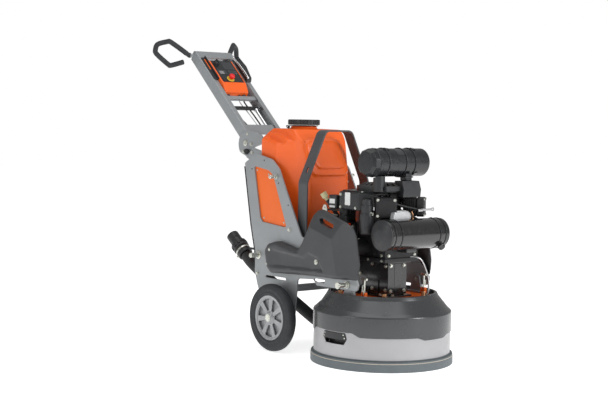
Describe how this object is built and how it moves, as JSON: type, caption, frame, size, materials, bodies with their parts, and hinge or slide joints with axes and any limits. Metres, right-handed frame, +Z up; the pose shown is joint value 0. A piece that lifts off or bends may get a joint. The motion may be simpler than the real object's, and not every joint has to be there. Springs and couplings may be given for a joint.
{
  "type": "concrete grinder",
  "caption": "Walk-behind planetary concrete floor grinder with engine drive, tank, side frames, wheels, tilting handle and floating dust shroud.",
  "frame": {"origin": "on the floor, on the axis of the main spindle of the grinding head", "axes": "+X forward towards the head's front, +Y to the machine's left as seen from the handle, +Z up"},
  "size_m": [1.8862, 0.66, 1.5342],
  "materials": {
    "frame_grey": "satin powder coat",
    "skirt_grey": "satin powder coat",
    "cover_graphite": "fine texture, semi gloss",
    "orange_plastic": "fine texture",
    "orange_paint": "satin",
    "black_plastic": "fine texture",
    "black_paint": "semi gloss",
    "bar_graphite": "satin powder coat",
    "black_rubber": "matt",
    "grey_rubber": "matt",
    "tyre": "matt",
    "zinc": "zinc plated",
    "steel": "machined",
    "chrome": "polished",
    "aluminium": "cast",
    "engine_grey": "black painted casting",
    "red_plastic": "gloss",
    "beige_plastic": "matt"
  },
  "bodies": {
    "chassis": {"side_plate_right": "frame_grey", "side_plate_left": "frame_grey", "base_frame": "frame_grey", "hinge_brackets": "frame_grey", "wheel_stubs": "steel", "main_tank": "orange_plastic", "inset_panels": "orange_paint", "loop_bar": "bar_graphite", "side_cover_right": "cover_graphite", "side_cover_left": "cover_graphite", "dust_hose": "black_rubber", "dust_coupling": "black_plastic", "edge_strips": "black_rubber", "chassis_fasteners": "zinc"},
    "plunger": {"plunger_pin": "zinc"},
    "cap": {"tank_cap": "black_plastic"},
    "handle": {"handle_frame": "frame_grey", "console_housing": "orange_plastic", "console_face": "black_plastic", "grips": "black_rubber", "handle_fittings": "bar_graphite", "control_cables": "black_rubber"},
    "stop_button": {"stop_button": "red_plastic"},
    "throttle_knob": {"throttle_knob": "black_plastic"},
    "release_lever": {"release_lever": "chrome"},
    "lock_bar": {"lock_bar": "chrome"},
    "head": {"gear_deck": "orange_paint", "head_casing": "aluminium", "spindle_bearings": "steel", "riser_box": "black_paint", "crankcase": "engine_grey", "cylinders": "engine_grey", "blower_housing": "black_plastic", "intake_grille": "black_plastic", "starter_motor": "black_paint", "muffler": "black_paint", "air_cleaner": "black_plastic", "intake_duct": "black_plastic", "tilt_lugs": "frame_grey"},
    "dipstick": {"dipstick": "beige_plastic"},
    "shroud": {"head_cover": "cover_graphite", "skirt_ring": "skirt_grey", "rubber_lip": "grey_rubber", "shroud_grips": "black_plastic"},
    "latch_right": {"latch_right": "zinc"},
    "latch_left": {"latch_left": "zinc"},
    "engine_rotor": {"flywheel": "aluminium"},
    "carrier": {"carrier_plate": "steel", "main_spindle": "steel", "drive_belt": "black_rubber"},
    "satellite_a": {"satellite_a": "steel", "tool_disc_a": "steel"},
    "satellite_b": {"satellite_b": "steel", "tool_disc_b": "steel"},
    "satellite_c": {"satellite_c": "steel", "tool_disc_c": "steel"},
    "wheel_right": {"tyre_right": "tyre", "hub_right": "aluminium"},
    "wheel_left": {"tyre_left": "tyre", "hub_left": "aluminium"}
  },
  "joints": [
    {"name": "handle_tilt", "type": "hinge", "parent": "chassis", "child": "handle", "pos_m": [-0.906, 0, 0.987], "axis": [0, 1, 0], "range_deg": [-12, 48]},
    {"name": "lock_slide", "type": "slide", "parent": "handle", "child": "lock_bar", "axis": [-0.7408, 0, 0.6717], "range_m": [0, 0.018], "stiffness_N_per_m": 1500, "springref_m": -0.004},
    {"name": "release_pull", "type": "hinge", "parent": "handle", "child": "release_lever", "pos_m": [-1.30615, 0.076, 1.43893], "axis": [0, -1, 0], "range_deg": [0, 26]},
    {"name": "stop_press", "type": "slide", "parent": "handle", "child": "stop_button", "axis": [-0.6717, 0, -0.7408], "range_m": [0, 0.006], "stiffness_N_per_m": 600, "springref_m": -0.002},
    {"name": "throttle_turn", "type": "hinge", "parent": "handle", "child": "throttle_knob", "pos_m": [-1.27462, -0.056, 1.40224], "axis": [0.6717, 0, 0.7408], "range_deg": [-135, 135]},
    {"name": "cap_turn", "type": "hinge", "parent": "chassis", "child": "cap", "pos_m": [-0.597, 0, 1.083], "axis": [0, 0, 1], "range_deg": [0, 270]},
    {"name": "plunger_pull", "type": "slide", "parent": "chassis", "child": "plunger", "axis": [0, -1, 0], "range_m": [0, 0.01], "stiffness_N_per_m": 800, "springref_m": -0.003},
    {"name": "wheel_right_spin", "type": "hinge", "parent": "chassis", "child": "wheel_right", "pos_m": [-0.465, -0.282, 0.162], "axis": [0, 1, 0], "continuous": true},
    {"name": "wheel_left_spin", "type": "hinge", "parent": "chassis", "child": "wheel_left", "pos_m": [-0.465, 0.282, 0.162], "axis": [0, 1, 0], "continuous": true},
    {"name": "head_tilt", "type": "hinge", "parent": "chassis", "child": "head", "pos_m": [0.008, 0, 0.366], "axis": [0, 1, 0], "range_deg": [-2, 2], "deforming": ["dust_hose"]},
    {"name": "shroud_float", "type": "slide", "parent": "head", "child": "shroud", "axis": [0, 0, 1], "range_m": [0, 0.01]},
    {"name": "dipstick_pull", "type": "slide", "parent": "head", "child": "dipstick", "axis": [-0.3745, -0.411, 0.8312], "range_m": [0, 0.1]},
    {"name": "latch_right_swing", "type": "hinge", "parent": "head", "child": "latch_right", "pos_m": [0.08, -0.186, 0.328], "axis": [-1, 0, 0], "range_deg": [0, 60]},
    {"name": "latch_left_swing", "type": "hinge", "parent": "head", "child": "latch_left", "pos_m": [0.08, 0.186, 0.328], "axis": [1, 0, 0], "range_deg": [0, 60]},
    {"name": "crank_spin", "type": "hinge", "parent": "head", "child": "engine_rotor", "pos_m": [0, 0, 0.6], "axis": [0, 0, 1], "continuous": true},
    {"name": "carrier_spin", "type": "hinge", "parent": "head", "child": "carrier", "pos_m": [0, 0, 0.1], "axis": [0, 0, 1], "continuous": true},
    {"name": "satellite_a_spin", "type": "hinge", "parent": "carrier", "child": "satellite_a", "pos_m": [0.086, 0.14896, 0.03], "axis": [0, 0, 1], "continuous": true},
    {"name": "satellite_b_spin", "type": "hinge", "parent": "carrier", "child": "satellite_b", "pos_m": [-0.172, 0, 0.03], "axis": [0, 0, 1], "continuous": true},
    {"name": "satellite_c_spin", "type": "hinge", "parent": "carrier", "child": "satellite_c", "pos_m": [0.086, -0.14896, 0.03], "axis": [0, 0, 1], "continuous": true}
  ],
  "couplings": [
    {"joint": "release_pull", "follows": "lock_slide", "rad_per_m": 25},
    {"joint": "satellite_a_spin", "follows": "carrier_spin", "ratio": -3.0429},
    {"joint": "satellite_b_spin", "follows": "carrier_spin", "ratio": -3.0429},
    {"joint": "satellite_c_spin", "follows": "carrier_spin", "ratio": -3.0429}
  ]
}
